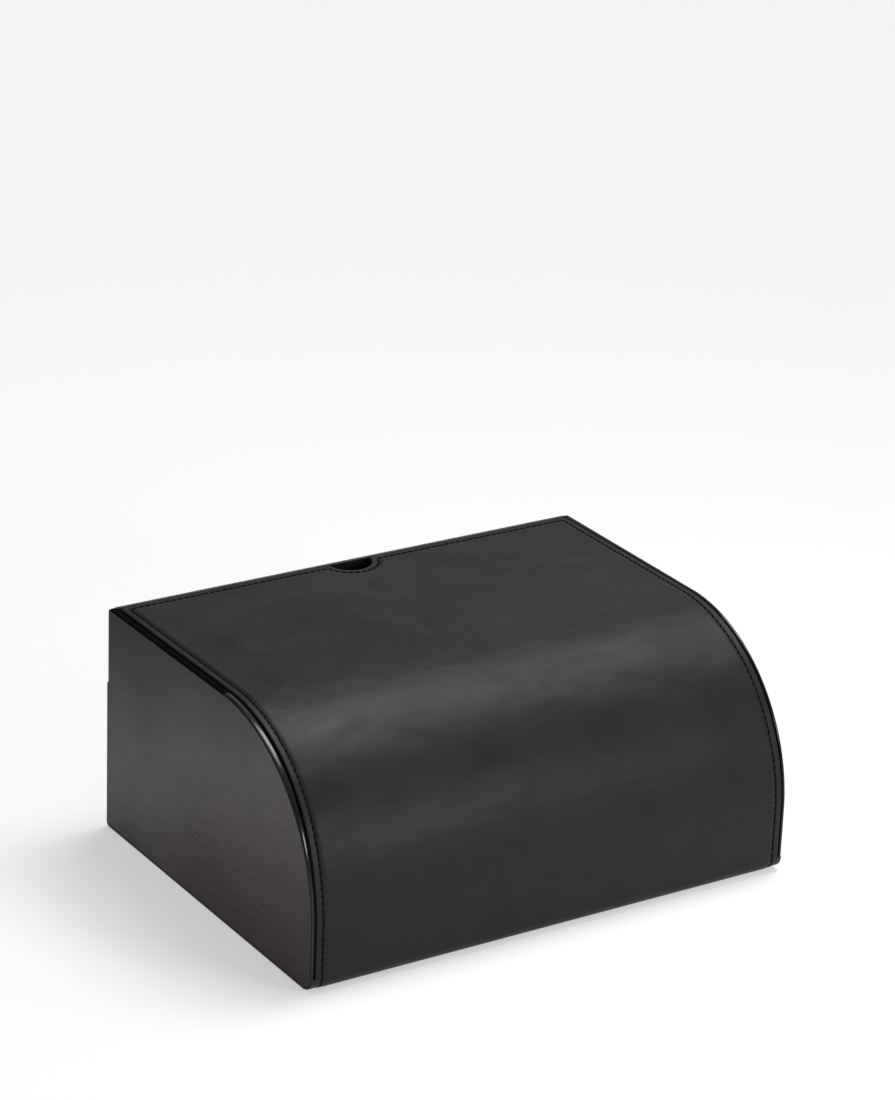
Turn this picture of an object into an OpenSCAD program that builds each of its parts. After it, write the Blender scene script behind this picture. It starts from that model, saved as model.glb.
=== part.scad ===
// Stationery box with a curved leather lid that folds forward from the bottom front edge.
// Millimetres. X runs along the width, Y to the rear and Z up.
// The origin is the middle of the footprint, on the surface that the box stands on.
// Inside the modules, Y starts at the front face of the lid, and place() centres it.

/* [Overall] */
// Width over the side panels
box_w = 330; // [260:1:420]
// Depth from the front of the lid to the rear leather
box_d = 247; // [225:1:320]
// Height to the top of the lid
box_h = 146; // [136:1:190]
// Radius of the bend from the top into the front
front_r = 105; // [70:1:115]

/* [Case] */
// Thickness of each side panel
side_t = 4; // [3:0.5:8]
// Radius on both edges of a side panel
edge_r = 1.4; // [0.5:0.1:1.4]
// How far the panels' edges lie below the lid's surface
panel_drop = 0.4; // [0:0.1:1.5]
// Thickness of the back panel
back_t = 4; // [3:0.5:8]
// Radius along the top rear edge of the case
back_edge_r = 3; // [1:0.5:3]
// Thickness of the base board
base_t = 6; // [4:0.5:9]

/* [Leather wrap] */
// Thickness of the leather
leather_t = 1.5; // [1:0.1:2.5]
// Outer radius of the fold that hinges the lid
fold_r = 9; // [6:0.5:14]
// Outer radius of the bend from the base to the rear
rear_bend_r = 3; // [2.6:0.1:6]
// Height of the leather's end on the rear face
back_leather_h = 96; // [40:1:115]

/* [Lid] */
// Thickness of the stiff core between the leather and the lining
core_t = 3; // [2:0.5:6]
// Thickness of the lid's lining
lid_lining_t = 0.8; // [0.5:0.1:1.5]
// Width of the stitched border strip round the core
welt_w = 6; // [4:0.5:12]
// Gap between the lid and each side panel
lid_gap = 0.8; // [0.4:0.1:2]
// Gap behind the lid's rear edge
rear_gap = 0.3; // [0.2:0.1:1]
// Gap between the lid's lower edge and the fold
hinge_gap = 0.5; // [0.5:0.1:1.2]
// Gap between the closed lid and the liners that carry it
rest_gap = 0.3; // [0.2:0.1:0.8]
// Radius of the half-round finger notch
notch_r = 14; // [9:0.5:18]

/* [Liners] */
// Thickness of the side and back liners
liner_t = 4; // [3:0.5:8]
// Thickness of the floor liner
floor_t = 2; // [1:0.5:4]
// How much wider than the notch the finger scoop in the back liner is, on each side
scoop_extra = 3; // [1:0.5:6]

/* [Dividers] */
// Thickness of each divider
divider_t = 3; // [2:0.5:5]
// Height of the front divider above the floor
divider_h = 60; // [40:1:66]
// How much taller each divider is than the one before it
divider_step = 18; // [5:1:20]
// Depth of the grooves that hold the dividers' ends
groove_depth = 2; // [1:0.1:2.2]
// Play on each side of a divider in its groove
groove_play = 0.15; // [0.1:0.05:0.4]
// Width of the dip in the top edge of a divider
dip_w = 120; // [60:1:180]
// Depth of that dip
dip_depth = 10; // [4:1:20]

/* [Pen tray] */
// Depth of the tray from front to rear
tray_d = 50; // [46:1:60]
// Height of the tray
tray_h = 18; // [14:1:24]
// Play between the tray and what surrounds it
tray_play = 0.3; // [0.2:0.1:1]
// Radius of each pen groove
pen_r = 8.5; // [6:0.5:9]
// Depth of each pen groove
pen_depth = 7.5; // [4:0.5:8]
// Length of the pen grooves
pen_l = 190; // [120:1:195]
// Width of the well at each end of the tray
well_w = 40; // [20:1:45]
// Wall round each well
tray_wall = 5; // [3:0.5:7]
// Thickness of the floor under each well
well_floor = 4; // [2:0.5:6]

/* [Hidden] */

leather_color = [0.10, 0.10, 0.11];
panel_color = [0.17, 0.16, 0.17];
board_color = [0.45, 0.36, 0.27];
lining_color = [0.30, 0.28, 0.27];

arc_fn = 180;
round_fn = 64;
past = 1;   // how far a cutter runs past the face it cuts

curve_y = front_r;
curve_z = box_h - front_r;

panel_rear = box_d - leather_t;
panel_top = box_h - panel_drop;
panel_reach = front_r - panel_drop;
back_front = panel_rear - back_t;
base_top = leather_t + base_t;
nose_r = fold_r - leather_t;

lid_half_w = box_w / 2 - side_t - lid_gap;
lid_rear = back_front - rear_gap;
lid_foot = fold_r + hinge_gap;
core_outer = leather_t;
core_inner = core_outer + core_t;
lid_t = core_inner + lid_lining_t;

case_half_w = box_w / 2 - side_t;
room_half_w = case_half_w - liner_t;
rest_inset = lid_t + rest_gap;
liner_top = box_h - rest_inset;
room_rear = back_front - liner_t;
floor_z = base_top + floor_t;
scoop_r = notch_r + scoop_extra;

tray_front = fold_r;
tray_rear = tray_front + tray_d;
tray_half_w = room_half_w - tray_play;
tray_top = floor_z + tray_h;
divider_count = 3;
letter_space = (room_rear - tray_rear - tray_play - divider_count * divider_t) / divider_count;
divider_half_w = room_half_w + groove_depth - groove_play;

function divider_y(i) = tray_rear + tray_play + i * (letter_space + divider_t);
function divider_top(i) = floor_z + divider_h + i * divider_step;
// Radius of the arc that spans a chord with the given rise
function arc_radius(chord, rise) = (chord * chord / 4 + rise * rise) / (2 * rise);

// Moves a piece from the front face of the lid to the middle of the footprint
module place() {
    translate([0, -box_d / 2, 0]) children();
}

// Extrudes a side view, drawn in Y and Z, across the width from x0 to x1
module across(x0, x1) {
    translate([x0, 0, 0]) rotate([90, 0, 90]) linear_extrude(x1 - x0) children();
}

// Extrudes a front view, drawn in X and Z, from y0 to y1
module front_to_rear(y0, y1) {
    translate([0, y1, 0]) rotate([90, 0, 0]) linear_extrude(y1 - y0) children();
}

// Waste outside a rounded corner of radius r, in the quadrant that the signs choose
module corner_waste(y, z, r, sy, sz) {
    translate([y, z]) scale([sy, sz]) difference() {
        translate([-past, -past]) square(r + past);
        translate([r, r]) circle(r, $fn = round_fn);
    }
}

// Side view of all that lies under a surface set inwards from the outer face of the lid
module under_lid(inset, rear, bottom) {
    translate([curve_y, bottom]) square([rear - curve_y, box_h - inset - bottom]);
    translate([inset, bottom]) square([curve_y - inset, curve_z - bottom]);
    intersection() {
        translate([curve_y, curve_z]) circle(front_r - inset, $fn = arc_fn);
        translate([inset, curve_z]) square(front_r - inset);
    }
}

// Side view of one layer of the lid, between two insets
module lid_layer(outer, inner, rear = lid_rear) {
    difference() {
        under_lid(outer, rear, lid_foot);
        under_lid(inner, rear + past, lid_foot - past);
    }
}

// Upright cylinder through the lid, centred on its rear edge
module notch_cutter(r) {
    translate([0, lid_rear, liner_top - past]) cylinder(r = r, h = lid_t + 3 * past, $fn = arc_fn);
}

// Side view of the leather's path along the base and rear, filled in, with both bends
module tub(inset, top) {
    difference() {
        translate([inset, inset]) square([box_d - 2 * inset, top - inset]);
        corner_waste(inset, inset, fold_r - inset, 1, 1);
        corner_waste(box_d - inset, inset, rear_bend_r - inset, -1, 1);
    }
}

// Cross-section of a side panel from its middle out to its rounded edge
module edge_section() {
    square([panel_reach - edge_r, side_t]);
    translate([0, edge_r]) square([panel_reach, side_t - 2 * edge_r]);
    for (y = [edge_r, side_t - edge_r])
        translate([panel_reach - edge_r, y]) circle(edge_r, $fn = round_fn);
}

// Left side panel, with its outer face at x = 0: the rounded edge runs along the top,
// round the bend and down the front to the leather fold
module side_panel() {
    difference() {
        union() {
            translate([0, curve_y, curve_z]) rotate([90, 0, 90]) rotate([0, 0, 90])
                rotate_extrude(angle = 90, $fn = arc_fn) edge_section();
            translate([0, curve_y, curve_z]) rotate([90, 0, 90]) rotate([90, 0, 90])
                linear_extrude(panel_rear - curve_y) edge_section();
            translate([0, curve_y, fold_r]) rotate([0, 0, -90])
                linear_extrude(curve_z - fold_r) edge_section();
            across(0, side_t) {
                translate([curve_y, leather_t]) square([panel_rear - curve_y, curve_z - leather_t]);
                intersection() {
                    tub(leather_t, curve_z);
                    square([curve_y, fold_r]);
                }
            }
        }
        across(-past, side_t + past) {
            corner_waste(panel_rear, panel_top, back_edge_r, -1, -1);
            corner_waste(panel_rear, leather_t, rear_bend_r - leather_t, -1, 1);
        }
    }
}

module side_panel_left() {
    color(panel_color) place() translate([-box_w / 2, 0, 0]) side_panel();
}

module side_panel_right() {
    color(panel_color) place() mirror([1, 0, 0]) translate([-box_w / 2, 0, 0]) side_panel();
}

module back_panel() {
    color(panel_color) place() across(-case_half_w, case_half_w) difference() {
        translate([back_front, leather_t]) square([back_t, panel_top - leather_t]);
        corner_waste(panel_rear, panel_top, back_edge_r, -1, -1);
        corner_waste(panel_rear, leather_t, rear_bend_r - leather_t, -1, 1);
    }
}

module base_board() {
    color(board_color) place() across(-case_half_w, case_half_w)
        translate([fold_r, leather_t]) square([back_front - fold_r, base_t]);
}

// Quarter-round strip that the leather folds over
module front_nosing() {
    color(board_color) place() across(-case_half_w, case_half_w) intersection() {
        tub(leather_t, box_h);
        square([fold_r, fold_r]);
    }
}

// Leather from the hinge fold, under the base and part of the way up the rear
module wrap_leather() {
    color(leather_color) place() across(-box_w / 2, box_w / 2) difference() {
        tub(0, back_leather_h);
        tub(leather_t, back_leather_h + past);
        translate([-past, fold_r]) square([curve_y, back_leather_h]);
    }
}

// Left liner: carries the lid on its top edge and holds the dividers in grooves
module side_liner() {
    difference() {
        across(-case_half_w, -room_half_w) difference() {
            under_lid(rest_inset, back_front, base_top);
            square([fold_r, fold_r]);
        }
        for (i = [0 : divider_count - 1])
            translate([-room_half_w - groove_depth, divider_y(i) - groove_play, floor_z])
                cube([groove_depth + past, divider_t + 2 * groove_play, box_h]);
    }
}

module side_liner_left() {
    color(lining_color) place() side_liner();
}

module side_liner_right() {
    color(lining_color) place() mirror([1, 0, 0]) side_liner();
}

module back_liner() {
    color(lining_color) place() front_to_rear(room_rear, back_front) difference() {
        translate([-room_half_w, base_top]) square([2 * room_half_w, liner_top - base_top]);
        translate([0, liner_top]) circle(scoop_r, $fn = arc_fn);
    }
}

module floor_liner() {
    color(lining_color) place() across(-room_half_w, room_half_w)
        translate([fold_r, base_top]) square([room_rear - fold_r, floor_t]);
}

// One divider: its ends stand in the liners' grooves and its top edge dips in the middle
module divider(i) {
    dip_r = arc_radius(dip_w, dip_depth);
    color(lining_color) place()
        front_to_rear(divider_y(i), divider_y(i) + divider_t) difference() {
            translate([-divider_half_w, floor_z])
                square([2 * divider_half_w, divider_top(i) - floor_z]);
            translate([0, divider_top(i) - dip_depth + dip_r]) circle(dip_r, $fn = arc_fn);
        }
}

module divider_front() { divider(0); }
module divider_middle() { divider(1); }
module divider_rear() { divider(2); }

// Tray behind the lid's front: two pen grooves between two square wells
module pen_tray() {
    axis_z = tray_top - pen_depth + pen_r;
    color(lining_color) place() difference() {
        translate([-tray_half_w, tray_front, floor_z]) cube([2 * tray_half_w, tray_d, tray_h]);
        for (share = [0.27, 0.73])
            translate([-pen_l / 2, tray_front + share * tray_d, axis_z])
                rotate([0, 90, 0]) cylinder(r = pen_r, h = pen_l, $fn = round_fn);
        for (side = [-1, 1])
            translate([side * (tray_half_w - tray_wall - well_w / 2) - well_w / 2,
                       tray_front + tray_wall, floor_z + well_floor])
                cube([well_w, tray_d - 2 * tray_wall, tray_h]);
    }
}

module lid_leather() {
    color(leather_color) place() difference() {
        across(-lid_half_w, lid_half_w) lid_layer(0, leather_t);
        notch_cutter(notch_r);
    }
}

module lid_core() {
    color(board_color) place() difference() {
        across(-lid_half_w + welt_w, lid_half_w - welt_w)
            lid_layer(core_outer, core_inner, lid_rear - welt_w);
        notch_cutter(notch_r + welt_w);
    }
}

module lid_welt() {
    across(-lid_half_w, -lid_half_w + welt_w) lid_layer(core_outer, core_inner);
}

module lid_welt_left() {
    color(leather_color) place() lid_welt();
}

module lid_welt_right() {
    color(leather_color) place() mirror([1, 0, 0]) lid_welt();
}

// Border strip along the lid's rear edge and round the finger notch
module lid_welt_rear() {
    color(leather_color) place() difference() {
        intersection() {
            across(-lid_half_w + welt_w, lid_half_w - welt_w) lid_layer(core_outer, core_inner);
            union() {
                translate([-lid_half_w, lid_rear - welt_w, 0])
                    cube([2 * lid_half_w, welt_w + past, box_h]);
                notch_cutter(notch_r + welt_w);
            }
        }
        notch_cutter(notch_r);
    }
}

module lid_lining() {
    color(lining_color) place() difference() {
        across(-lid_half_w, lid_half_w) lid_layer(core_inner, lid_t);
        notch_cutter(notch_r);
    }
}

side_panel_left();
side_panel_right();
back_panel();
base_board();
front_nosing();
wrap_leather();
side_liner_left();
side_liner_right();
back_liner();
floor_liner();
divider_front();
divider_middle();
divider_rear();
pen_tray();
lid_leather();
lid_core();
lid_welt_left();
lid_welt_right();
lid_welt_rear();
lid_lining();
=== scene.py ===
"""Looks of the stationery box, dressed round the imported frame.

Metres, in the frame of the CAD: X to the right, Y to the rear, Z up from the table.
"""

import math

import bmesh
import bpy
import numpy as np
from mathutils import Matrix, Vector, noise


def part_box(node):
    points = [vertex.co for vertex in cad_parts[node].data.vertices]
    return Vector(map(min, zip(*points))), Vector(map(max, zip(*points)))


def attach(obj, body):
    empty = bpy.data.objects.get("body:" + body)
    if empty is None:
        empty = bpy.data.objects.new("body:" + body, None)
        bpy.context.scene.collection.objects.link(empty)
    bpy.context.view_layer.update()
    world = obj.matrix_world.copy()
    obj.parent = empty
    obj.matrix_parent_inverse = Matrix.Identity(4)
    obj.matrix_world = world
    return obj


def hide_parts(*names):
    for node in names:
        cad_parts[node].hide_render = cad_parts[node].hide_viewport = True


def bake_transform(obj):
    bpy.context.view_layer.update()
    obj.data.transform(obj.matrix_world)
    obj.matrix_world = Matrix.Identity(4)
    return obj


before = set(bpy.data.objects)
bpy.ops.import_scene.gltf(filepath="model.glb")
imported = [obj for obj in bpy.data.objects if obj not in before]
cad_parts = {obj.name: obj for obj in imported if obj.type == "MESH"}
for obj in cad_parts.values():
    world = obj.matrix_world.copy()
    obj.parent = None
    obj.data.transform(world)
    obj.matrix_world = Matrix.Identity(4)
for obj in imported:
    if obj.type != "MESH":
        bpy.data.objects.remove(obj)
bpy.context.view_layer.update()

MM = 0.001
QUARTER = math.pi / 2

# ---------------------------------------------------------------- sizes of the solids

lid_low, lid_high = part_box("lid_leather")
_, wrap_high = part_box("wrap_leather")
panel_low, panel_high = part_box("side_panel_left")
back_low, back_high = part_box("back_panel")

BOX_HALF_W = wrap_high.x
LID_HALF_W = lid_high.x
LID_REAR = lid_high.y
LID_FOOT = lid_low.z
FRONT = lid_low.y
TOP = lid_high.z
LEATHER_T = 1.5 * MM
CORE_T = 3.0 * MM
LINING_T = 0.8 * MM
LID_T = LEATHER_T + CORE_T + LINING_T
BEND_R = 105 * MM         # from the top to the front
FOLD_R = 9 * MM           # at the bottom front edge
REAR_BEND_R = 3 * MM      # from the underside to the rear
NOTCH_R = 14 * MM
BACK_EDGE_R = 3 * MM      # top rear edge of the panels and the back
PANEL_DROP = TOP - panel_high.z
BEND_Y, BEND_Z = FRONT + BEND_R, TOP - BEND_R

# ---------------------------------------------------------------- sizes of the trim

STITCH_D = 4.5 * MM       # from the lid's edge to the stitches
STITCH_STEP = 4.4 * MM    # from one stitch to the next
STITCH_SHARE = 0.76       # thread that shows, as a share of the step
STITCH_LEAN = 0.15 * MM   # sideways, at the ends of a stitch
THREAD_HALF_W = 0.55 * MM
THREAD_HALF_H = 0.42 * MM
LINING_THREAD_H = 0.02 * MM   # the thread's middle on the inside, above the lining's face
SHADED_CHANNEL_HALF = 0.65 * MM   # half width of the darker, duller channel that the stitches lie in: painted shade in the groove
GROOVE_DEPTH = 0.25 * MM
GROOVE_W = 0.75 * MM
LINING_GROOVE_DEPTH = 0.18 * MM
LINING_GROOVE_W = 0.6 * MM
BORDER_DROP = 0.50 * MM   # the lid's border lies this much lower than its field
BORDER_RISE = 3.2 * MM    # width of the slope between them
BORDER_D = 12 * MM        # width of the finely meshed border
CUT_EDGE_D = 0.5 * MM     # width of the dark cut edge: edge paint, and painted shade for the gap beside it
EDGE_DROP = 0.35 * MM     # how far the cover's edge is rubbed down, and over what width
EDGE_EASE = 1.1 * MM
EDGE_POWER = 1.5
COVER_RIM_R = 0.55 * MM
LINING_RIM_R = 0.3 * MM
WRAP_RIM_R = 0.5 * MM
CORNER_R = 3 * MM         # lid corner, seen from above
LIP_R = 2.5 * MM          # corner between the rear edge and the notch
LEAST_R = 0.4 * MM
SKIVED = 0.25 * MM        # the cover's edge stands back this far from the solid's
SPREAD = 2.4 * MM         # the cover widens by this much on each side, over the panels' edges
SPREAD_END = 288 * MM     # where along the sheet it has done so
LEFT_START = 196 * MM     # where it starts to on the left
RIGHT_START = -150 * MM   # on the right it has started before the rear edge
HIDE_WAVES = (9, 14)      # waves of the hide per metre, across the lid and along it
HIDE_SLICE = 3.0          # which slice of the noise they are
HIDE_SINK = 0.10 * MM     # half of how far they sink
HIDE_FADE = 9 * MM        # width over which they die out at the border, and at the foot
FOOT_FADE = 12 * MM
FIELD_FADE = 40 * MM      # length over which the field's mesh rows straighten behind the notch

DOME_H = 0.9 * MM         # rounding of the panels' edges
DOME_POWER = 0.72         # below 1, the rounding is flatter than a half ellipse
CROWN_DROP = 0.5 * MM     # the rounded edge lies this much lower than the solid's
LINE_D = DOME_H + CROWN_DROP
LINE_W = 0.4 * MM         # thin line cut beside the rounding
REBATE_D = 2.4 * MM
NARROWED = 0.6            # how much of a panel's edge makes room for the cover where it widens
PLAIN_EASE = 0.25         # rounding of a panel's rear and foot, as a share of its edge's
BACK_EASE = 0.5 * MM

# Points of the lid's outline, from its foot to the middle of the notch
SIDE_POINTS = 139
CORNER_POINTS = 9
REAR_POINTS = 58
LIP_POINTS = 7
NOTCH_POINTS = 22
LID_CORNER = SIDE_POINTS + CORNER_POINTS // 2

# Points of a side panel's outline, from its rear top corner round the front and back up
FLAT_POINTS = 40
BEND_POINTS = 96
FRONT_POINTS = 11
NOSE_POINTS = 17
HEEL_POINTS = 7
CROWN_POINTS = 12
DOME_POINTS = 21
DARK_EDGE_ROWS = 7          # rows of the edge, from the outer face, that are dark: the cut line, and the start of the rounding as painted shade

# Points round small edges, and across or along wide stretches
RIM_POINTS = 6
STRIP_RIM_POINTS = 5
BACK_EDGE_POINTS = 13
BORDER_POINTS = 36
WIDE_POINTS = 40
STRIP_POINTS = 12
FOLD_ROWS = 25
REAR_BEND_ROWS = 9
BACK_ROWS = 12
BACK_COLUMNS = 60

# ---------------------------------------------------------------- the leather sheet's path

FLAT_L = LID_REAR - BEND_Y
FRONT_L = BEND_Z - FOLD_R
BASE_L = wrap_high.y - REAR_BEND_R - (FRONT + FOLD_R)
BACK_L = wrap_high.z - REAR_BEND_R
# Each stretch of the sheet's outer face: its length and, where it bends, its radius
SHEET = [
    (FLAT_L, None),
    (BEND_R * QUARTER, BEND_R),
    (FRONT_L, None),
    (FOLD_R * QUARTER, FOLD_R),
    (BASE_L, None),
    (REAR_BEND_R * QUARTER, REAR_BEND_R),
    (BACK_L, None),
]
FOLD_START = sum(length for length, _ in SHEET[:3])
FOLD_END = FOLD_START + FOLD_R * QUARTER
SHEET_END = sum(length for length, _ in SHEET)
LID_S = FOLD_START - (LID_FOOT - FOLD_R)


def outward(turned):
    """Outward direction in Y and Z where the sheet has turned by this angle since the flat top."""
    return np.stack([-np.sin(turned), np.cos(turned)], -1)


def on_sheet(x, s, h):
    """Points at x across the box and s along the sheet from the lid's rear edge.

    They are raised by h from the sheet's outer face.
    """
    x, s, h = np.broadcast_arrays(np.asarray(x, float), s, h)
    place = np.zeros(s.shape + (2,)) + (LID_REAR, TOP)
    turned = np.zeros(s.shape)
    heading = 0.0
    left = s.astype(float)
    for length, radius in SHEET:
        step = np.clip(left, 0, length)
        left = left - step
        if radius:
            turn = step / radius
            place = place + radius * (outward(heading + turn) - outward(np.array(heading)))
            turned = turned + turn
            heading += length / radius
        else:
            ahead = outward(np.array(heading + QUARTER))
            place = place + step[..., None] * ahead
    place = place + h[..., None] * outward(turned)
    return np.concatenate([x[..., None], place], -1)


def smooth(t):
    """Smooth step from 0 to 1."""
    t = np.clip(t, 0, 1)
    return t * t * (3 - 2 * t)


# ---------------------------------------------------------------- mesh helpers

WELD = 1e-7
SLIVER = 1e-8


def add(name, data):
    """A new object in the scene."""
    obj = bpy.data.objects.new(name, data)
    bpy.context.scene.collection.objects.link(obj)
    return obj


def new_object(name, points, faces, body, slot, materials, sharp_deg=35, material_of=None):
    """A closed mesh object from points and faces, with shared points welded and ends closed."""
    mesh = bpy.data.meshes.new(name)
    mesh.from_pydata([tuple(p) for p in points], [], faces)
    for material in materials:
        mesh.materials.append(material)
    if material_of is not None:
        mesh.polygons.foreach_set("material_index", np.array(material_of, np.int32))
    bm = bmesh.new()
    bm.from_mesh(mesh)
    bmesh.ops.remove_doubles(bm, verts=bm.verts, dist=WELD)
    bmesh.ops.dissolve_degenerate(bm, edges=bm.edges, dist=SLIVER)
    open_edges = [e for e in bm.edges if e.is_boundary]
    if open_edges:
        bmesh.ops.holes_fill(bm, edges=open_edges)
    bmesh.ops.recalc_face_normals(bm, faces=bm.faces)
    bm.to_mesh(mesh)
    bm.free()
    mesh.shade_smooth()
    mesh.set_sharp_from_angle(angle=math.radians(sharp_deg))
    obj = add(name, mesh)
    if body:
        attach(obj, body)
    return obj


def grid_faces(rows, columns, first=0, ring=False):
    """Quads of a grid of rows by columns of points, closed across the columns if it is a ring."""
    faces = []
    last = columns if ring else columns - 1
    for i in range(rows - 1):
        for j in range(last):
            a = first + i * columns + j
            b = first + i * columns + (j + 1) % columns
            faces.append((a, b, b + columns, a + columns))
    return faces


def grids_object(name, grids, body, slot, materials, ring=False, **options):
    """One object from several grids of points that share edges."""
    points, faces = [], []
    for grid in grids:
        rows, columns = grid.shape[:2]
        faces += grid_faces(rows, columns, len(points), ring)
        points += list(grid.reshape(-1, 3))
    return new_object(name, points, faces, body, slot, materials, **options)


def arc(x, y, radius, start, end, count):
    """Points on an arc in a plane."""
    angle = np.linspace(start, end, count)
    return np.stack([x + radius * np.cos(angle), y + radius * np.sin(angle)], -1)


# ---------------------------------------------------------------- materials

def math_node(tree, operation, *values):
    """Result of a math node on outputs and numbers."""
    node = tree.nodes.new("ShaderNodeMath")
    node.operation = operation
    for socket, value in zip(node.inputs, values):
        if isinstance(value, float):
            socket.default_value = value
        else:
            tree.links.new(value, socket)
    return node.outputs[0]


def map_range(tree, value, span, to, kind="LINEAR"):
    """Maps a value from one span to another, held at both ends."""
    node = tree.nodes.new("ShaderNodeMapRange")
    node.interpolation_type = kind
    for socket, number in zip(("From Min", "From Max", "To Min", "To Max"), (*span, *to)):
        node.inputs[socket].default_value = number
    tree.links.new(value, node.inputs["Value"])
    return node.outputs["Result"]


class Nodes:
    """A node material in the making, with short calls for the nodes that the finishes share."""

    def __init__(self, name, **settings):
        self.material = bpy.data.materials.new(name)
        self.material.use_nodes = True
        self.tree = self.material.node_tree
        self.shader = self.tree.nodes["Principled BSDF"]
        for socket, value in settings.items():
            self.shader.inputs[socket.replace("_", " ")].default_value = value
        self.coordinates = self.tree.nodes.new("ShaderNodeTexCoord").outputs["Object"]

    def stretched(self, scale):
        """Object coordinates multiplied by a scale for each axis."""
        mapping = self.tree.nodes.new("ShaderNodeMapping")
        mapping.inputs["Scale"].default_value = scale
        self.tree.links.new(self.coordinates, mapping.inputs["Vector"])
        return mapping.outputs["Vector"]

    def noise(self, scale, detail=2.0, roughness=0.5, distortion=0.0, at=None):
        """Noise from 0 to 1, with scale in cells per metre."""
        node = self.tree.nodes.new("ShaderNodeTexNoise")
        node.inputs["Scale"].default_value = scale
        node.inputs["Detail"].default_value = detail
        node.inputs["Roughness"].default_value = roughness
        node.inputs["Distortion"].default_value = distortion
        self.tree.links.new(at or self.coordinates, node.inputs["Vector"])
        return node.outputs["Fac"]

    def cells(self, scale):
        """Distance to the nearest of scattered points, with scale in cells per metre."""
        node = self.tree.nodes.new("ShaderNodeTexVoronoi")
        node.inputs["Scale"].default_value = scale
        self.tree.links.new(self.coordinates, node.inputs["Vector"])
        return node.outputs["Distance"]

    def along(self, direction):
        """How far along a direction in object space a point is."""
        node = self.tree.nodes.new("ShaderNodeVectorMath")
        node.operation = "DOT_PRODUCT"
        node.inputs[1].default_value = direction
        self.tree.links.new(self.coordinates, node.inputs[0])
        return node.outputs["Value"]

    def ramp(self, value, span, to=(0, 1)):
        """Maps a value from one span to another, held at both ends."""
        return map_range(self.tree, value, span, to)

    def mix(self, factor, first, second):
        """Colour between two colours, each a tuple or an output."""
        node = self.tree.nodes.new("ShaderNodeMix")
        node.data_type = "RGBA"
        first_socket, second_socket = node.inputs[6:8]  # for colours, named A and B as others are
        for socket, colour in ((first_socket, first), (second_socket, second)):
            if isinstance(colour, tuple):
                socket.default_value = (*colour, 1)
            else:
                self.tree.links.new(colour, socket)
        self.tree.links.new(factor, node.inputs[0])
        return node.outputs[2]

    def bump(self, height, distance, after=None):
        """Normal raised by height times distance in metres."""
        node = self.tree.nodes.new("ShaderNodeBump")
        node.inputs["Distance"].default_value = distance
        node.inputs["Strength"].default_value = 1.0
        self.tree.links.new(height, node.inputs["Height"])
        if after is not None:
            self.tree.links.new(after, node.inputs["Normal"])
        return node.outputs["Normal"]

    def into(self, socket, output):
        """Links an output to one of the shader's sockets."""
        self.tree.links.new(output, self.shader.inputs[socket])


def leather(name, dark, light, rough, specular, waves=0.0):
    """Smooth dyed leather: cloudy dye, fine pebbled grain and an uneven polish.

    Waves is the height of slow waves of the hide.
    """
    n = Nodes(name, Specular_IOR_Level=specular)
    dye = n.noise(18, detail=4, roughness=0.6)
    n.into("Base Color", n.mix(n.ramp(dye, (0.35, 0.65)), dark, light))
    polish = n.noise(14, detail=4, roughness=0.6, distortion=0.6, at=n.stretched((1, 2.2, 2.2)))
    n.into("Roughness", n.ramp(polish, (0.3, 0.7), rough))
    height = n.bump(n.noise(260, detail=3), 0.06 * MM, n.bump(n.cells(1500), 0.04 * MM))
    if waves:
        at = n.stretched((1, 1.7, 1.7))
        slow = n.noise(20, detail=2.5, distortion=0.4, at=at)
        height = n.bump(slow, waves, height)
    n.into("Normal", height)
    return n.material


# The side panels are smoothest along a broad band, low at the rear and high at the front; above it
# their colour darkens as painted shade
BAND_ACROSS = (0, 0.339, 0.941)
BAND_AT = 77 * MM
BAND_HALF = 15 * MM       # from the band's middle to where it starts to fade, and to where it ends
BAND_FADE = 100 * MM
BAND_ROUGH = 0.30         # added roughness beyond the band
# Colour of the painted shade above the band
PAINTED_SHADE_ABOVE = (0.006, 0.0045, 0.0055)
PAINTED_SHADE_SHARE = 0.75        # share of that painted shade above the band


def stained_wood(name, dark, light, rough, stretch, banded=False):
    """Wood under a satin stain, with fine open grain along the axis that stretch shortens.

    A banded face is smoothest along the band, and above it its colour darkens as painted shade.
    """
    n = Nodes(name)
    at = n.stretched(stretch)
    streaks = n.noise(420, detail=4, roughness=0.6, distortion=0.3, at=at)
    stain = n.mix(n.ramp(streaks, (0.3, 0.72)), dark, light)
    polish = n.ramp(n.noise(16, detail=3, roughness=0.55), (0.3, 0.7), rough)
    if banded:
        across = n.along(BAND_ACROSS)
        for side in (1, -1):
            fade = (BAND_AT + side * BAND_HALF, BAND_AT + side * BAND_FADE)
            polish = math_node(n.tree, "ADD", polish, n.ramp(across, fade, (0, BAND_ROUGH)))
        # Painted shade: the colour darkens above the band
        above = n.ramp(across, (BAND_AT, BAND_AT + BAND_FADE), (0, PAINTED_SHADE_SHARE))
        stain = n.mix(above, stain, PAINTED_SHADE_ABOVE)
    n.into("Base Color", stain)
    n.into("Roughness", polish)
    pores = n.noise(1300, detail=4, roughness=0.7, distortion=0.1, at=at)
    n.into("Normal", n.bump(streaks, 0.010 * MM, n.bump(pores, 0.008 * MM)))
    return n.material


POLISH_FADE = 8 * MM      # length at the start of the bend over which the edge gains its polish
WORN_LIGHTER = 1.6


def lacquer(name, colour, rough, dull):
    """Polished black edge with a faint ripple from the rubbing down, duller along the flat top."""
    n = Nodes(name, Specular_IOR_Level=0.3, Coat_Weight=0.12, Coat_Roughness=0.06)
    n.into("Roughness", n.ramp(n.along((0, 1, 0)), (BEND_Y - POLISH_FADE, BEND_Y), (rough, dull)))
    lighter = tuple(c * WORN_LIGHTER for c in colour)
    n.into("Base Color", n.mix(n.ramp(n.noise(60), (0.4, 0.6)), colour, lighter))
    n.into("Normal", n.bump(n.noise(90), 0.03 * MM))
    return n.material


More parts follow.
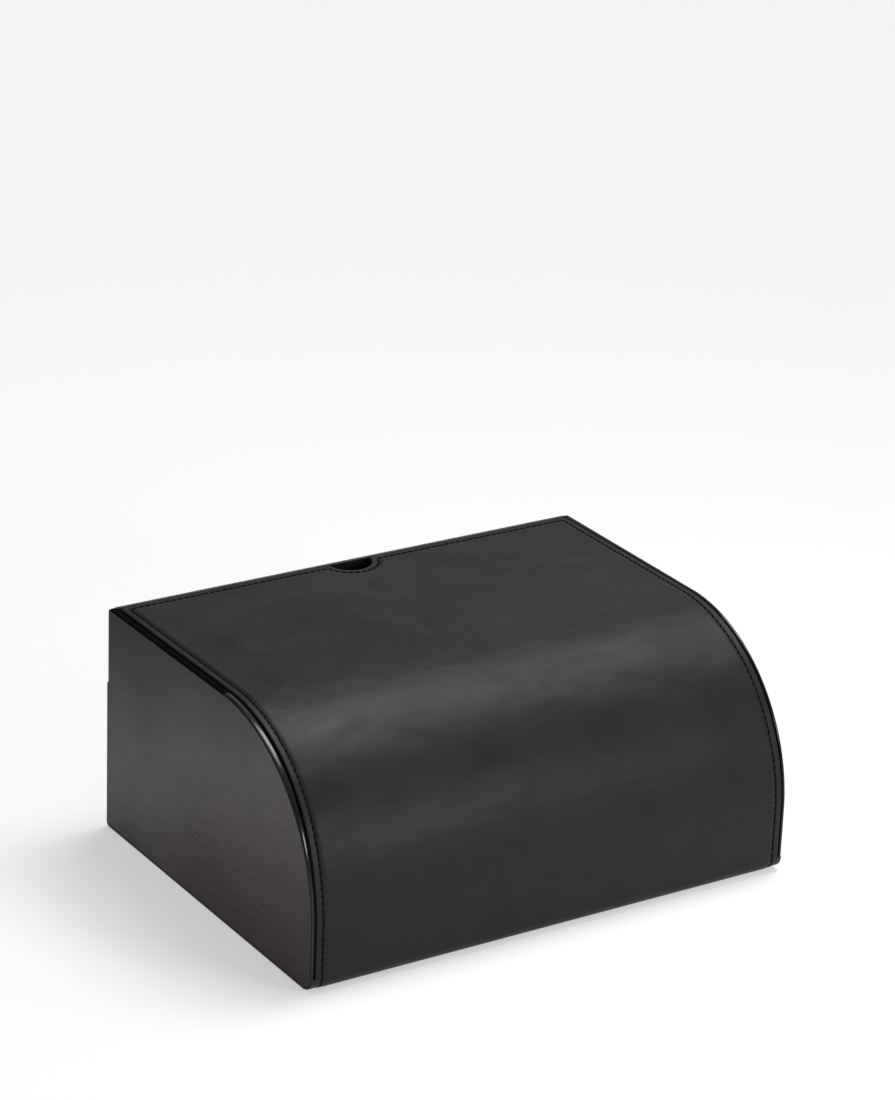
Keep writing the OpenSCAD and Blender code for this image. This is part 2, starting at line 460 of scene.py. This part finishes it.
def suede(name, dark, light):
    """Short napped cloth with a soft sheen."""
    n = Nodes(name, Roughness=0.95, Specular_IOR_Level=0.15, Sheen_Weight=0.12,
              Sheen_Roughness=0.5, Sheen_Tint=(0.75, 0.72, 0.72, 1))
    nap = n.noise(55, detail=5, roughness=0.7)
    n.into("Base Color", n.mix(n.ramp(nap, (0.35, 0.65)), dark, light))
    n.into("Normal", n.bump(n.noise(2600, detail=3, roughness=0.7), 0.12 * MM))
    return n.material


def thread(name, dark, light):
    """Waxed thread with a twisted ply."""
    n = Nodes(name, Roughness=0.7, Specular_IOR_Level=0.1)
    n.into("Base Color", n.mix(n.noise(900), dark, light))
    n.into("Normal", n.bump(n.noise(3200), 0.05 * MM))
    return n.material


COVER = leather("black_leather", (0.0105, 0.0088, 0.0122), (0.0150, 0.0146, 0.0176),
                rough=(0.42, 0.54), specular=0.22, waves=1.2 * MM)
# Darker, duller leather for the lid's cut edge and the stitch channel: edge paint, and painted shade
CREASE_SHADE_AND_EDGE_PAINT = leather("creased_leather_and_painted_shade", (0.0075, 0.0068, 0.0085), (0.010, 0.0098, 0.0115),
                 rough=(0.55, 0.65), specular=0.12)
DIVIDER = leather("divider_leather", (0.013, 0.012, 0.012), (0.022, 0.020, 0.019),
                  rough=(0.45, 0.58), specular=0.4)
# Both dark edge finishes have the leather's fine grain. The first is edge paint, and painted shade
# on the panels' outer flank; the second hardly reflects and is painted shade for the dark reflection
# along the left panel's flat top
EDGE_PAINT_AND_SHADE = leather("painted_edge_and_shade", (0.004, 0.004, 0.0045), (0.007, 0.007, 0.007),
                     rough=(0.6, 0.7), specular=0.12)
PAINTED_SHADE_EDGE = leather("painted_shade_black_edge", (0.0015, 0.0015, 0.0018), (0.003, 0.003, 0.003),
                     rough=(0.6, 0.7), specular=0.02)
BLACK_STAIN = ((0.030, 0.020, 0.026), (0.050, 0.036, 0.045))
PANEL = stained_wood("black_stained_wood_painted_shade", *BLACK_STAIN, (0.46, 0.54), (1, 0.12, 1), banded=True)
BACK = stained_wood("black_stained_back", *BLACK_STAIN, (0.50, 0.60), (0.12, 1, 1))
TRAY = stained_wood("tray_wood", (0.016, 0.012, 0.011), (0.045, 0.035, 0.030),
                    rough=(0.38, 0.5), stretch=(0.06, 1, 1))
BOARD = stained_wood("bare_board", (0.22, 0.15, 0.09), (0.36, 0.27, 0.17),
                     rough=(0.6, 0.8), stretch=(0.06, 1, 1))
POLISHED = lacquer("polished_edge", (0.004, 0.0038, 0.004), rough=0.16, dull=0.60)
SUEDE = suede("black_suede", (0.014, 0.013, 0.013), (0.026, 0.024, 0.024))
THREAD = thread("black_thread", (0.002, 0.002, 0.002), (0.005, 0.005, 0.005))

# ---------------------------------------------------------------- the lid's layers


def spread(x, s):
    """How far the cover has widened at s, on the side of the box where x lies."""
    start = np.where(np.asarray(x) > 0, RIGHT_START, LEFT_START)
    return SPREAD * smooth((s - start) / (SPREAD_END - start))


def nowhere(x, s):
    """A layer that lies even, or that keeps its width."""
    return np.zeros(np.shape(x))


def lid_outline(d):
    """The lid's outline moved inwards by d, as x and s.

    It runs from the left foot round the notch to the right foot. The number of points is the
    same for each d, so that outlines join up into a grid, and LID_CORNER is the number of the
    left corner's middle point.
    """
    side = LID_HALF_W - SKIVED - d
    corner_r = max(CORNER_R - d, LEAST_R)
    lip_r = max(LIP_R - d, LEAST_R)
    notch_r = NOTCH_R + d
    corner_s = d + corner_r
    lip_s = d + lip_r
    lip_x = math.sqrt((notch_r + lip_r) ** 2 - lip_s**2)
    lean = math.atan2(lip_s, lip_x)
    up_side = np.linspace(LID_S, corner_s, SIDE_POINTS, endpoint=False)
    along_rear = np.linspace(-side + corner_r, -lip_x, REAR_POINTS + 2)[1:-1]
    left = np.concatenate([
        np.stack([np.full_like(up_side, -side), up_side], -1),
        arc(-side + corner_r, corner_s, corner_r, math.pi, 1.5 * math.pi, CORNER_POINTS),
        np.stack([along_rear, np.full_like(along_rear, d)], -1),
        arc(-lip_x, lip_s, lip_r, -QUARTER, -lean, LIP_POINTS),
        arc(0, 0, notch_r, math.pi - lean, QUARTER, NOTCH_POINTS)[1:],
    ])
    right = left[-2::-1] * (-1, 1)
    return np.concatenate([left, right])


def groove(d, depth, width):
    """Height of a groove under the stitches, at d from the lid's edge."""
    return -depth * np.exp(-(((d - STITCH_D) / width) ** 2))


def leather_height(d):
    """Height of the leather at d from the lid's edge: a low border, the groove, the field at 0."""
    border = -BORDER_DROP * (1 - smooth((d - STITCH_D) / BORDER_RISE))
    return border + groove(d, GROOVE_DEPTH, GROOVE_W)


def cover_height(d):
    """Height of the lid's leather at d from its edge, with the edge rubbed down."""
    return leather_height(d) - EDGE_DROP * (1 - smooth(d / EDGE_EASE)) ** EDGE_POWER


def lining_height(d):
    """Height of the lining at d from its edge."""
    return groove(d, LINING_GROOVE_DEPTH, LINING_GROOVE_W)


def edge_section(thickness, rim_r, height):
    """Section of a sheet's border as (d, h).

    It runs from the underside at BORDER_D round the rim to the top at BORDER_D.
    """
    roll = np.linspace(0, QUARTER, RIM_POINTS)
    under = [(BORDER_D, -thickness), (rim_r, -thickness)]
    for a in roll[1:]:
        under.append((rim_r * (1 - math.sin(a)), -thickness + rim_r * (1 - math.cos(a))))
    on_top = np.linspace(rim_r, BORDER_D, BORDER_POINTS)[1:]
    top_d = np.concatenate([rim_r * (1 - np.cos(roll)), on_top])
    into_rim = np.clip(rim_r - top_d, 0, None)
    drop = rim_r - np.sqrt(np.clip(rim_r**2 - into_rim**2, 0, None))
    return under + [(d, height(d) - fall) for d, fall in zip(top_d, drop)]


def hide_relief(x, s):
    """Slow unevenness of the hide over the core.

    It never stands proud of the core, and there is none at the border or the foot.
    """
    inside = smooth((LID_HALF_W - np.abs(x) - STITCH_D) / HIDE_FADE)
    inside = inside * smooth((s - STITCH_D) / HIDE_FADE) * smooth((LID_S - s) / FOOT_FADE)
    per_x, per_s = HIDE_WAVES
    places = zip(np.ravel(x), np.ravel(s))
    waves = [noise.noise(Vector((a * per_x, b * per_s, HIDE_SLICE))) for a, b in places]
    return (np.reshape(waves, np.shape(x)) - 1) * HIDE_SINK * inside


def field_grid(inner):
    """Grid of x and s that fills the outline inner, with its corners at the outline's corners."""
    last_corner = len(inner) - 1 - LID_CORNER
    rear = inner[LID_CORNER:last_corner + 1]
    left = inner[LID_CORNER::-1]
    right = inner[last_corner:]
    fade = np.clip(1 - (left[:, 1] - left[0, 1]) / FIELD_FADE, 0, 1)
    x = np.tile(rear[:, 0], (len(left), 1))
    s = left[:, 1:] + fade[:, None] * (rear[:, 1] - left[0, 1])
    x[:, 0], s[:, 0] = left.T
    x[:, -1], s[:, -1] = right.T
    return x, s


def lid_layer(name, section, outer_h, slot, materials, relief=nowhere, widening=nowhere):
    """A layer of the lid: the section swept round the outline, closed by a field on both sides.

    The second material, if there is one, goes on the section's cut edge and on the channel of
    the stitches, both darkened as painted shade.
    """
    border = np.stack([lid_outline(d) for d, _ in section])
    border_x, border_s = border[..., 0], border[..., 1]
    border_h = np.array([h for _, h in section])[:, None] + relief(border_x, border_s)
    field_x, field_s = field_grid(lid_outline(BORDER_D))
    field_h = relief(field_x, field_s)
    sheets = [(border_x, border_s, border_h)]
    sheets += [(field_x, field_s, section[end][1] + field_h) for end in (0, -1)]
    grids = []
    for x, s, h in sheets:
        grids.append(on_sheet(x * (1 + widening(x, s) / LID_HALF_W), s, outer_h + h))
    kinds = []
    for (d, _), (next_d, _) in zip(section, section[1:]):
        middle = (d + next_d) / 2
        dark = middle < CUT_EDGE_D or abs(middle - STITCH_D) < SHADED_CHANNEL_HALF
        kinds += [int(dark and len(materials) > 1)] * (border.shape[1] - 1)
    kinds += [0] * (2 * (field_x.shape[0] - 1) * (field_x.shape[1] - 1))
    return grids_object(name, grids, "lid", slot, materials, material_of=kinds)


def lid_cover():
    """Outer leather of the lid, rubbed down at its edge and drawn in along the stitches."""
    section = edge_section(LEATHER_T, COVER_RIM_R, cover_height)
    obj = lid_layer("lid_cover", section, 0, "leather", [COVER, CREASE_SHADE_AND_EDGE_PAINT], hide_relief, spread)
    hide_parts("lid_leather")


def lid_inside():
    """Suede lining of the lid, a thin layer whose outer side faces into the box."""
    section = [(d, -h) for d, h in edge_section(LINING_T, LINING_RIM_R, lining_height)]
    obj = lid_layer("lid_inside", section, -LID_T, "suede", [SUEDE])
    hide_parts("lid_lining")


# ---------------------------------------------------------------- fold and wrap

COVER_HALF_W = LID_HALF_W + SPREAD - SKIVED


def fold():
    """Leather hinge: the lid's leather, now as wide as the box, round the bottom front edge.

    Its shoulders close the gaps beside the lid's foot.
    """
    flank = BOX_HALF_W - COVER_HALF_W
    section = edge_section(LEATHER_T, WRAP_RIM_R, lambda d: leather_height(d - flank))
    border = [(d - BOX_HALF_W, h) for d, h in section]
    start = border[-1][0]
    field = [(x, section[-1][1]) for x in np.linspace(start, -start, WIDE_POINTS)[1:-1]]
    under = [(x, section[0][1]) for x, _ in field[::-1]]
    loop = np.array(border + field + [(-x, h) for x, h in border[::-1]] + under)
    x, h = loop.T
    rows = [on_sheet(np.clip(x, -COVER_HALF_W, COVER_HALF_W), LID_S, h)]
    rows += [on_sheet(x, s, h) for s in np.linspace(FOLD_START, FOLD_END, FOLD_ROWS)]
    # The channel along the stitches gets the darker leather, as painted shade in the groove
    from_stitches = np.abs(np.abs(x + np.roll(x, -1)) / 2 - (COVER_HALF_W - STITCH_D))
    kinds = (from_stitches < SHADED_CHANNEL_HALF).astype(int).tolist()
    obj = grids_object("fold", [np.stack(rows)], None, "leather", [COVER, CREASE_SHADE_AND_EDGE_PAINT], ring=True,
                       material_of=kinds * (len(rows) - 1))
    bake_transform(obj)


def strip_section(half_w, rim_r):
    """Closed section of a plain strip of leather with rounded outer edges, as x and h."""
    roll = np.linspace(0, QUARTER, STRIP_RIM_POINTS)
    rim = [(half_w - rim_r * (1 - math.cos(a)), -rim_r * (1 - math.sin(a))) for a in roll]
    top = [(x, 0) for x in np.linspace(rim_r - half_w, half_w - rim_r, STRIP_POINTS)[1:-1]]
    left = [(-half_w, -LEATHER_T)] + [(-x, h) for x, h in rim]
    return left + top + rim[::-1] + [(half_w, -LEATHER_T)]


def wrap():
    """Leather under the base and up the rear, with a rounded top edge."""
    x, h = np.array(strip_section(BOX_HALF_W, WRAP_RIM_R)).T
    bend = np.linspace(FOLD_END + BASE_L, SHEET_END - BACK_L, REAR_BEND_ROWS)
    up_back = np.linspace(SHEET_END - BACK_L, SHEET_END - WRAP_RIM_R, BACK_ROWS)[1:]
    rows = [on_sheet(x, s, h) for s in (FOLD_END, *bend, *up_back)]
    for a in np.linspace(0, QUARTER, STRIP_RIM_POINTS)[1:]:
        s = SHEET_END - WRAP_RIM_R * (1 - math.sin(a))
        rows.append(on_sheet(x, s, np.minimum(h, -WRAP_RIM_R * (1 - math.cos(a)))))
    obj = grids_object("base_and_back_leather", [np.stack(rows)], "case", "leather", [COVER],
                       ring=True)
    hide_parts("wrap_leather")


# ---------------------------------------------------------------- stitching

STITCH_RINGS = 7
STITCH_SIDES = 6
BLUNT_ENDS = 0.6


def stitch_places(path):
    """Both ends of each stitch along a path of points in x and s."""
    steps = np.linalg.norm(np.diff(path, axis=0), axis=1)
    reach = np.concatenate([[0], np.cumsum(steps)])
    count = round(reach[-1] / STITCH_STEP)
    ends = np.linspace(0, reach[-1], count + 1)
    points = np.stack([np.interp(ends, reach, path[:, k]) for k in (0, 1)], -1)
    return points[:-1], points[1:]


def stitches(name, starts, ends, h, body):
    """Thread in the groove: one small rounded stitch between each pair of points in x and s."""
    turn = np.linspace(0, math.pi, STITCH_RINGS)
    around = np.linspace(0, 2 * math.pi, STITCH_SIDES, endpoint=False)
    points, faces = [], []
    for a, b in zip(starts, ends):
        middle = (a + b) / 2
        half = (b - a) * (0.5 * STITCH_SHARE)
        ahead = half / np.linalg.norm(half)
        across = np.array([-ahead[1], ahead[0]])
        axis = half + STITCH_LEAN * across
        faces += grid_faces(STITCH_RINGS, STITCH_SIDES, len(points), ring=True)
        for t in turn:
            girth = math.sin(t) ** BLUNT_ENDS
            sideways = np.outer(np.cos(around) * girth * THREAD_HALF_W, across)
            flat = middle - math.cos(t) * axis + sideways
            rise = h + np.sin(around) * girth * THREAD_HALF_H
            points += list(on_sheet(flat[:, 0], flat[:, 1], rise))
    return new_object(name, points, faces, body, "welt", [THREAD], sharp_deg=80)


def stitching():
    """Stitch lines along the lid's border, on both of its faces, and on round the fold."""
    path = lid_outline(STITCH_D)
    inner_h = LINING_THREAD_H - LID_T
    stitches("lining_stitches", *stitch_places(path), inner_h, "lid")
    path[:, 0] *= 1 + spread(path[:, 0], path[:, 1]) / LID_HALF_W
    outer_h = -THREAD_HALF_H
    stitches("lid_stitches", *stitch_places(path), outer_h, "lid")
    pairs = []
    for side in (-1, 1):
        x = side * (COVER_HALF_W - STITCH_D)
        pairs.append(stitch_places(np.array([(x, LID_S), (x, FOLD_END)])))
    starts, ends = (np.concatenate(group) for group in zip(*pairs))
    obj = stitches("fold_stitches", starts, ends, outer_h, None)
    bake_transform(obj)


# ---------------------------------------------------------------- side panels and back

def panel_outline(d, plain_d):
    """Side view of a panel, moved inwards by d along its rounded edge and by plain_d elsewhere.

    It starts at the top rear corner and runs along the flat top, round the bend, down the
    front, round the nose, along the foot and up the rear.
    """
    reach = BEND_R - PANEL_DROP - d
    top_r = BACK_EDGE_R - d
    nose_r = FOLD_R - LEATHER_T - plain_d
    heel_r = REAR_BEND_R - LEATHER_T
    rear = panel_high.y - plain_d
    foot = panel_low.z + plain_d
    flat_y = np.linspace(rear - top_r, BEND_Y, FLAT_POINTS)
    front_z = np.linspace(BEND_Z, FOLD_R + plain_d, FRONT_POINTS + 1)[1:]
    return np.concatenate([
        np.stack([flat_y, np.full_like(flat_y, BEND_Z + reach)], -1),
        arc(BEND_Y, BEND_Z, reach, QUARTER, math.pi, BEND_POINTS + 1)[1:],
        np.stack([np.full_like(front_z, BEND_Y - reach), front_z], -1),
        arc(FRONT + FOLD_R, FOLD_R, nose_r, math.pi, 1.5 * math.pi, NOSE_POINTS),
        arc(rear - heel_r, foot + heel_r, heel_r, -QUARTER, 0, HEEL_POINTS),
        arc(rear - top_r, BEND_Z + reach - top_r, top_r, 0, QUARTER, CROWN_POINTS + 1)[:-1],
    ])


def spread_share(side, outline):
    """How far the leather beside each point of a panel's outline has widened, from 0 to 1."""
    to_bend, to_front = FLAT_POINTS, FLAT_POINTS + BEND_POINTS
    to_nose = to_front + FRONT_POINTS
    flat_s = FLAT_L + BEND_Y - outline[:to_bend, 0]
    bend_s = FLAT_L + np.linspace(0, BEND_R * QUARTER, BEND_POINTS + 1)[1:]
    front_s = bend_s[-1] + BEND_Z - outline[to_front:to_nose, 1]
    fanned = spread(side, np.concatenate([flat_s, bend_s, front_s])) / SPREAD
    round_nose = np.linspace(1, 0, NOSE_POINTS)
    return np.concatenate([fanned, round_nose, np.zeros(HEEL_POINTS + CROWN_POINTS)])


def panel_profile(half_t):
    """Section of a panel's edge, as depth from the edge and place across the thickness.

    A thin line cut into the outer face, the flattened dome, and the step down to the rebate.
    """
    line = [(2, 0.0), (1, 0.0), (0.5, 0.5), (0, 0.0)]
    profile = [(LINE_D + inward * LINE_W, cut * LINE_W) for inward, cut in line]
    for a in np.linspace(0, math.pi, DOME_POINTS):
        fall = DOME_H * (1 - math.sin(a) ** DOME_POWER)
        aside = math.copysign(abs(math.cos(a)) ** DOME_POWER, math.cos(a))
        profile.append((CROWN_DROP + fall, half_t * (1 - aside)))
    return profile + [(REBATE_D, 2 * half_t)]


def side_panel(name, node, side):
    """Wooden side panel: flat satin faces, and a rounded edge from the rear round to the fold.

    Where the lid's leather widens, the edge narrows from the inner side and leaves a rebate
    for it. The edge is polished. Its outer part is dark: the thin cut line, and the start of
    the rounding as painted shade. Along the flat top the left edge is black all over, painted
    shade for the dark reflection there.
    """
    half_t = (panel_high.x - panel_low.x) / 2
    outer = -panel_low.x
    profile = panel_profile(half_t)
    rings = []
    for d, x in profile:
        outline = panel_outline(d, d * PLAIN_EASE)
        across = side * (outer - x * (1 - NARROWED * spread_share(side, outline)))
        rings.append(np.column_stack([across, outline]))
    across = np.full(len(outline), side * (outer - 2 * half_t))
    rings.append(np.column_stack([across, outline]))
    face, polished, painted, shade_black = range(4)
    flat_columns = FLAT_POINTS - 1
    bend_columns = 1 + BEND_POINTS + FRONT_POINTS
    plain_columns = len(outline) - flat_columns - bend_columns
    kinds = []
    for i in range(len(rings) - 1):
        on_face = i == 0 or i > len(profile) - 3
        # Rows near the outer face are dark, partly as painted shade; on the left the flat top's edge
        # is painted black shade
        bend_kind = face if on_face else painted if i < DARK_EDGE_ROWS else polished
        flat_kind = shade_black if side < 0 and not on_face else bend_kind
        kinds += [flat_kind] * flat_columns + [bend_kind] * bend_columns
        kinds += [face] * plain_columns
    obj = grids_object(name, [np.stack(rings)], "case", "panel_wood",
                       [PANEL, POLISHED, EDGE_PAINT_AND_SHADE, PAINTED_SHADE_EDGE], ring=True, material_of=kinds)
    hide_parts(node)


def back_board():
    """Back panel between the side panels, with a rounded top rear edge and a dark inner face."""
    top, rear, inner, foot = back_high.z, back_high.y, back_low.y, back_low.z
    edge_r, ease = BACK_EDGE_R, BACK_EASE
    outline = [(inner, foot), (rear, foot)]
    outline += [(rear, z) for z in np.linspace(foot, top - edge_r, RIM_POINTS)[1:-1]]
    outline += list(arc(rear - edge_r, top - edge_r, edge_r, 0, QUARTER, BACK_EDGE_POINTS))
    outline += list(arc(inner + ease, top - ease, ease, QUARTER, math.pi, STRIP_RIM_POINTS))
    across = np.linspace(back_low.x, back_high.x, BACK_COLUMNS)
    rows = [[(x, y, z) for y, z in outline] for x in across]
    kinds = [0] * (len(outline) - 1) + [1]
    obj = grids_object("back_board", [np.array(rows)], "case", "panel_wood", [BACK, EDGE_PAINT_AND_SHADE],
                       ring=True, material_of=kinds * (len(rows) - 1))
    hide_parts("back_panel")


# ---------------------------------------------------------------- the CAD nodes

FINISHES = {
    "base_board": BOARD, "front_nosing": BACK, "lid_core": BOARD,
    "side_liner_left": SUEDE, "side_liner_right": SUEDE, "back_liner": SUEDE, "floor_liner": SUEDE,
    "divider_front": DIVIDER, "divider_middle": DIVIDER, "divider_rear": DIVIDER,
    "pen_tray": TRAY,
    "lid_welt_left": EDGE_PAINT_AND_SHADE, "lid_welt_right": EDGE_PAINT_AND_SHADE, "lid_welt_rear": EDGE_PAINT_AND_SHADE,
    "side_panel_left": PANEL, "side_panel_right": PANEL, "back_panel": BACK,
    "wrap_leather": COVER, "lid_leather": COVER, "lid_lining": SUEDE,
}


def finish_nodes():
    """Gives each CAD node its material, also those that a piece here stands for."""
    for node, material in FINISHES.items():
        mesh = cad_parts[node].data
        if not mesh.materials:
            mesh.materials.append(material)
        for i in range(len(mesh.materials)):
            mesh.materials[i] = material


# ---------------------------------------------------------------- studio

FLOOR_Z = -0.3 * MM
FLOOR_TURNS = 96
# Radius and height of the floor's rings, which end in the backdrop
FLOOR_RINGS = [(0.02, 0.0), (4, 0.0), (8, 0.0), (10, 0.12), (11, 0.45), (11.6, 1.0), (11.8, 1.9)]
FLOOR_COLOUR = (0.62, 0.62, 0.62)
FLOOR_GLOW = 0.44
ROOM_COLOUR = (1.0, 0.98, 1.0)
CEILING_LEVEL = 0.60
WALL_LEVEL = 0.05
# Spans of the room's directions, as parts of a unit vector
WALL_TOP = (0.0, 0.3)         # height over which the wall gives way to the ceiling
WALL_RISE = 0.66              # how much higher the wall stands behind the object
WALL_BEHIND = (0.1, 0.5)      # how far back it has risen
WALL_END = (0.30, 0.52)       # how far to the right it ends
FRONT_FADE = (-0.7, 0.1)      # the room is dimmer in front
FRONT_SHARE = 0.5
KEY_TOWARD = (0.40, 0.09, 0.912)
KEY_RADIANCE = 4.7
KEY_SPREAD_DEG = 32
TOP_BOX_AT = (0.34, 0.05, 0.905)
TOP_BOX_TARGET = (-0.08, -0.05, 0.13)
TOP_BOX_SIZE = (0.30, 0.30)
TOP_BOX_RADIANCE = 5.6
FRONT_BOX_AT = (0.23, -0.70, 0.37)
FRONT_BOX_TARGET = (0, FRONT, 0.08)
FRONT_BOX_SIZE = (0.30, 0.16)
FRONT_BOX_RADIANCE = 12.0


def floor():
    """A wide pale table top that rises into a low backdrop far away, all round.

    It glows a little for the camera, and in reflections, and keeps the object's shadow.
    """
    turns = np.linspace(0, 2 * math.pi, FLOOR_TURNS, endpoint=False)
    points = [(r * math.cos(a), r * math.sin(a), z + FLOOR_Z) for r, z in FLOOR_RINGS for a in turns]
    faces = grid_faces(len(FLOOR_RINGS), FLOOR_TURNS, ring=True)
    faces.append(tuple(range(FLOOR_TURNS)))
    mesh = bpy.data.meshes.new("floor")
    mesh.from_pydata(points, [], faces)
    mesh.shade_smooth()
    paper = Nodes("pale_table", Base_Color=(*FLOOR_COLOUR, 1), Roughness=0.9,
                  Specular_IOR_Level=0.1, Emission_Color=(1, 1, 1, 1))
    path = paper.tree.nodes.new("ShaderNodeLightPath")
    seen = path.outputs["Is Camera Ray"]
    for kind in ("Is Glossy Ray", "Is Transmission Ray"):
        seen = math_node(paper.tree, "MAXIMUM", seen, path.outputs[kind])
    paper.into("Emission Strength", math_node(paper.tree, "MULTIPLY", seen, FLOOR_GLOW))
    mesh.materials.append(paper.material)
    add("floor", mesh)


def place_light(data, place, toward):
    """Puts a light at a place, shining from the direction of toward."""
    lamp = add(data.name, data)
    lamp.location = place
    lamp.rotation_mode = "QUATERNION"
    lamp.rotation_quaternion = Vector(toward).to_track_quat("Z", "Y")


def sun(name, toward, radiance, spread_deg):
    """A broad soft light from one direction, as bright to look at as radiance says."""
    data = bpy.data.lights.new(name, "SUN")
    data.angle = math.radians(spread_deg)
    data.energy = radiance * math.pi * math.sin(data.angle / 2) ** 2
    place_light(data, (0, 0, 2), toward)


def softbox(name, place, target, width, height, radiance):
    """A rectangular soft light that faces the target."""
    data = bpy.data.lights.new(name, "AREA")
    data.shape = "RECTANGLE"
    data.size, data.size_y = width, height
    data.energy = radiance * math.pi * width * height
    place_light(data, place, Vector(place) - Vector(target))


def surround():
    """The room: a pale ceiling, dimmer in front, above a dark wall that is highest behind."""
    world = bpy.data.worlds.new("surround")
    world.use_nodes = True
    tree = world.node_tree
    axes = tree.nodes.new("ShaderNodeSeparateXYZ")
    tree.links.new(tree.nodes.new("ShaderNodeTexCoord").outputs["Generated"], axes.inputs[0])
    x, y, z = axes.outputs

    def fade(value, span, to):
        return map_range(tree, value, span, to, "SMOOTHSTEP")

    risen = fade(y, WALL_BEHIND, (0, WALL_RISE))
    risen = math_node(tree, "MULTIPLY", risen, fade(x, WALL_END, (1, 0)))
    height = math_node(tree, "SUBTRACT", z, risen)
    level = fade(height, WALL_TOP, (WALL_LEVEL, CEILING_LEVEL))
    level = math_node(tree, "MULTIPLY", level, fade(y, FRONT_FADE, (FRONT_SHARE, 1)))
    background = tree.nodes["Background"]
    tree.links.new(level, background.inputs["Strength"])
    background.inputs["Color"].default_value = (*ROOM_COLOUR, 1)
    bpy.context.scene.world = world


def studio():
    """Plain soft light: the room, a broad key light high on the right, and two softboxes.

    One softbox is above on the right, and one is low in front.
    """
    surround()
    sun("key", KEY_TOWARD, KEY_RADIANCE, KEY_SPREAD_DEG)
    softbox("top_box", TOP_BOX_AT, TOP_BOX_TARGET, *TOP_BOX_SIZE, TOP_BOX_RADIANCE)
    softbox("front_box", FRONT_BOX_AT, FRONT_BOX_TARGET, *FRONT_BOX_SIZE, FRONT_BOX_RADIANCE)


# ---------------------------------------------------------------- camera

CAMERA_AT = (-1.1976, -1.8304, 1.0902)
YAW_DEG, PITCH_DEG, ROLL_DEG = 33.104, 22.243, 2.178
LENS = 131.0
SENSOR_W = 36
CLIP = (0.05, 100)


def camera():
    """The photograph's view: long lens, from the left front and a little above."""
    data = bpy.data.cameras.new("camera")
    data.sensor_width = SENSOR_W
    data.lens = LENS
    data.clip_start, data.clip_end = CLIP
    yaw, pitch, roll = (math.radians(a) for a in (YAW_DEG, PITCH_DEG, ROLL_DEG))
    level_ahead = Vector((math.sin(yaw), math.cos(yaw), 0))
    ahead = level_ahead * math.cos(pitch) - Vector((0, 0, math.sin(pitch)))
    right = Vector((math.cos(yaw), -math.sin(yaw), 0))
    up = right.cross(ahead)
    right_rolled = right * math.cos(roll) + up * math.sin(roll)
    up_rolled = up * math.cos(roll) - right * math.sin(roll)
    turned = Matrix((right_rolled, up_rolled, -ahead)).transposed()
    cam = add("camera", data)
    cam.matrix_world = Matrix.Translation(CAMERA_AT) @ turned.to_4x4()
    bpy.context.scene.camera = cam


# ---------------------------------------------------------------- the scene

lid_cover()
lid_inside()
fold()
wrap()
stitching()
side_panel("side_board_left", "side_panel_left", -1)
side_panel("side_board_right", "side_panel_right", 1)
back_board()
finish_nodes()
floor()
studio()
camera()

bpy.context.scene.view_settings.view_transform = "Standard"
